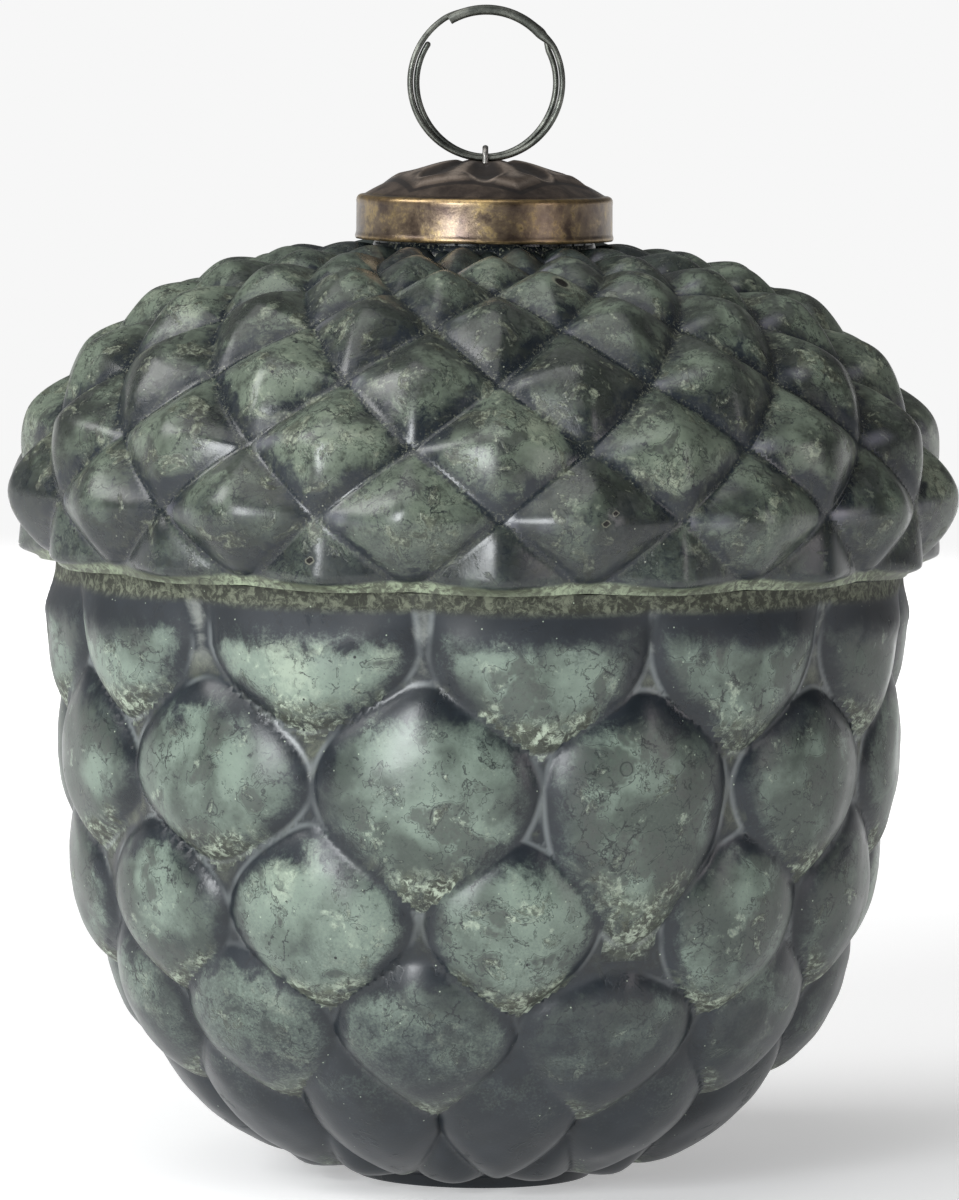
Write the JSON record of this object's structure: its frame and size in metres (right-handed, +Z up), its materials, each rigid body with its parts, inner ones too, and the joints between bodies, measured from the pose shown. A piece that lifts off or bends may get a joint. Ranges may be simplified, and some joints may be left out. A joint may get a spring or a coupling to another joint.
{
  "type": "pinecone-shaped lidded glass jar",
  "caption": "Round glass storage jar shaped like a pinecone, with a lift-off scaled lid that carries a metal cap and a swinging split ring.",
  "frame": {"origin": "middle of the foot's underside, on the surface the jar stands on", "axes": "+Z up along the jar's axis, -Y towards the front, the closed ring lies in the XZ plane"},
  "size_m": [0.1498, 0.1498, 0.1852],
  "materials": {
    "jar_glass": "satin mottled verdigris, opaque",
    "lid_glass": "satin mottled verdigris, opaque",
    "cap_brass": "antique brown, worn golden at the edges",
    "eye_wire": "dull grey",
    "ring_wire": "dark gunmetal"
  },
  "bodies": {
    "jar": {"jar": "jar_glass", "lid": "lid_glass", "cap": "cap_brass", "eye": "eye_wire"},
    "ring": {"ring": "ring_wire"}
  },
  "joints": [
    {"name": "ring_swing", "type": "hinge", "parent": "jar", "child": "ring", "pos_m": [0, 0, 0.16115], "axis": [1, 0, 0], "range_deg": [-55, 55]}
  ]
}
